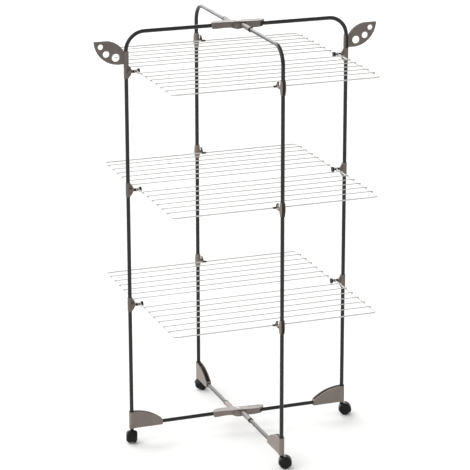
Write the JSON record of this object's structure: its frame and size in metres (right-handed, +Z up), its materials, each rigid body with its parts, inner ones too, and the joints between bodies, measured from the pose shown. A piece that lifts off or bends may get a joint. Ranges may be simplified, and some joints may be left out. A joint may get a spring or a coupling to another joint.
{
  "type": "clothes drying rack",
  "caption": "Folding tower clothes airer: two crossing tube frames on twin-wheel castors with drop-down wire tiers and leaf-shaped hanger plates.",
  "frame": {"origin": "on the floor, under the middle of the airer", "axes": "+Z up; X from the left leg to the right leg; -Y towards the front leg"},
  "size_m": [0.898, 0.7496, 1.3146],
  "materials": {
    "tube_paint": "gloss anthracite powder coat",
    "taupe_plastic": "satin moulded",
    "castor_plastic": "satin moulded",
    "wheel_plastic": "satin moulded",
    "black_plastic": "satin moulded",
    "wire_coating": "white epoxy coat",
    "pin_steel": "zinc plated"
  },
  "bodies": {
    "side_frame": {"left_leg_tube": "tube_paint", "right_leg_tube": "tube_paint", "left_bottom_bar": "tube_paint", "right_bottom_bar": "tube_paint", "left_foot_shell": "taupe_plastic", "right_foot_shell": "taupe_plastic", "left_top_bracket": "taupe_plastic", "left_middle_bracket": "taupe_plastic", "left_bottom_bracket": "taupe_plastic", "right_top_bracket": "taupe_plastic", "right_middle_bracket": "taupe_plastic", "right_bottom_bracket": "taupe_plastic", "top_hub_body": "taupe_plastic", "bottom_hub_body": "taupe_plastic", "hub_pivot_pins": "pin_steel", "tier_hinge_pins": "black_plastic", "tier_pin_caps": "black_plastic", "side_frame_inserts": "black_plastic"},
    "cross_frame": {"front_leg_tube": "tube_paint", "back_leg_tube": "tube_paint", "front_bottom_bar": "tube_paint", "back_bottom_bar": "tube_paint", "front_foot_shell": "taupe_plastic", "back_foot_shell": "taupe_plastic", "front_top_bracket": "taupe_plastic", "front_middle_bracket": "taupe_plastic", "front_bottom_bracket": "taupe_plastic", "back_top_bracket": "taupe_plastic", "back_middle_bracket": "taupe_plastic", "back_bottom_bracket": "taupe_plastic", "top_hub_cross": "taupe_plastic", "bottom_hub_cross": "taupe_plastic", "cross_frame_inserts": "black_plastic", "tier_snap_hooks": "black_plastic"},
    "front_top_grid": {"front_top_grid_frame": "wire_coating", "front_top_grid_wires": "wire_coating"},
    "back_top_grid": {"back_top_grid_frame": "wire_coating", "back_top_grid_wires": "wire_coating"},
    "front_middle_grid": {"front_middle_grid_frame": "wire_coating", "front_middle_grid_wires": "wire_coating"},
    "back_middle_grid": {"back_middle_grid_frame": "wire_coating", "back_middle_grid_wires": "wire_coating"},
    "front_bottom_grid": {"front_bottom_grid_frame": "wire_coating", "front_bottom_grid_wires": "wire_coating"},
    "back_bottom_grid": {"back_bottom_grid_frame": "wire_coating", "back_bottom_grid_wires": "wire_coating"},
    "left_hanger": {"left_leaf_hanger": "taupe_plastic"},
    "right_hanger": {"right_leaf_hanger": "taupe_plastic"},
    "left_castor": {"left_castor_fork": "castor_plastic", "left_castor_axle": "pin_steel"},
    "left_wheels": {"left_castor_wheels": "wheel_plastic"},
    "right_castor": {"right_castor_fork": "castor_plastic", "right_castor_axle": "pin_steel"},
    "right_wheels": {"right_castor_wheels": "wheel_plastic"},
    "front_castor": {"front_castor_fork": "castor_plastic", "front_castor_axle": "pin_steel"},
    "front_wheels": {"front_castor_wheels": "wheel_plastic"},
    "back_castor": {"back_castor_fork": "castor_plastic", "back_castor_axle": "pin_steel"},
    "back_wheels": {"back_castor_wheels": "wheel_plastic"}
  },
  "joints": [
    {"name": "frame_fold", "type": "hinge", "parent": "side_frame", "child": "cross_frame", "pos_m": [0, 0, 0.0535], "axis": [0, 0, 1], "range_deg": [-78, 0]},
    {"name": "front_top_grid_drop", "type": "hinge", "parent": "side_frame", "child": "front_top_grid", "pos_m": [0, 0, 1.1845], "axis": [1, 0, 0], "range_deg": [0, 86.01]},
    {"name": "back_top_grid_drop", "type": "hinge", "parent": "side_frame", "child": "back_top_grid", "pos_m": [0, 0, 1.1845], "axis": [1, 0, 0], "range_deg": [-86.01, 0]},
    {"name": "front_middle_grid_drop", "type": "hinge", "parent": "side_frame", "child": "front_middle_grid", "pos_m": [0, 0, 0.8185], "axis": [1, 0, 0], "range_deg": [0, 86.01]},
    {"name": "back_middle_grid_drop", "type": "hinge", "parent": "side_frame", "child": "back_middle_grid", "pos_m": [0, 0, 0.8185], "axis": [1, 0, 0], "range_deg": [-86.01, 0]},
    {"name": "front_bottom_grid_drop", "type": "hinge", "parent": "side_frame", "child": "front_bottom_grid", "pos_m": [0, 0, 0.4525], "axis": [1, 0, 0], "range_deg": [0, 86.01]},
    {"name": "back_bottom_grid_drop", "type": "hinge", "parent": "side_frame", "child": "back_bottom_grid", "pos_m": [0, 0, 0.4525], "axis": [1, 0, 0], "range_deg": [-86.01, 0]},
    {"name": "left_hanger_turn", "type": "hinge", "parent": "side_frame", "child": "left_hanger", "pos_m": [-0.35, 0.01, 1.2265], "axis": [0, 0, 1], "range_deg": [-180, 30]},
    {"name": "right_hanger_turn", "type": "hinge", "parent": "side_frame", "child": "right_hanger", "pos_m": [0.35, -0.01, 1.2265], "axis": [0, 0, 1], "range_deg": [-180, 30]},
    {"name": "left_castor_swivel", "type": "hinge", "parent": "side_frame", "child": "left_castor", "pos_m": [-0.35, 0.01, 0.042], "axis": [0, 0, 1], "continuous": true},
    {"name": "left_wheel_spin", "type": "hinge", "parent": "left_castor", "child": "left_wheels", "pos_m": [-0.35376, -0.00034, 0.0185], "axis": [0.9397, -0.342, 0], "continuous": true},
    {"name": "right_castor_swivel", "type": "hinge", "parent": "side_frame", "child": "right_castor", "pos_m": [0.35, -0.01, 0.042], "axis": [0, 0, 1], "continuous": true},
    {"name": "right_wheel_spin", "type": "hinge", "parent": "right_castor", "child": "right_wheels", "pos_m": [0.36034, -0.01376, 0.0185], "axis": [0.342, 0.9397, 0], "continuous": true},
    {"name": "front_castor_swivel", "type": "hinge", "parent": "cross_frame", "child": "front_castor", "pos_m": [0.01, -0.35, 0.042], "axis": [0, 0, 1], "continuous": true},
    {"name": "front_wheel_spin", "type": "hinge", "parent": "front_castor", "child": "front_wheels", "pos_m": [0.02034, -0.35376, 0.0185], "axis": [0.342, 0.9397, 0], "continuous": true},
    {"name": "back_castor_swivel", "type": "hinge", "parent": "cross_frame", "child": "back_castor", "pos_m": [-0.01, 0.35, 0.042], "axis": [0, 0, 1], "continuous": true},
    {"name": "back_wheel_spin", "type": "hinge", "parent": "back_castor", "child": "back_wheels", "pos_m": [0.00034, 0.35376, 0.0185], "axis": [-0.342, 0.9397, 0], "continuous": true}
  ],
  "couplings": [
    {"joint": "front_top_grid_drop", "follows": "frame_fold", "ratio": -1.1026},
    {"joint": "back_top_grid_drop", "follows": "frame_fold", "ratio": 1.1026},
    {"joint": "front_middle_grid_drop", "follows": "frame_fold", "ratio": -1.1026},
    {"joint": "back_middle_grid_drop", "follows": "frame_fold", "ratio": 1.1026},
    {"joint": "front_bottom_grid_drop", "follows": "frame_fold", "ratio": -1.1026},
    {"joint": "back_bottom_grid_drop", "follows": "frame_fold", "ratio": 1.1026}
  ]
}
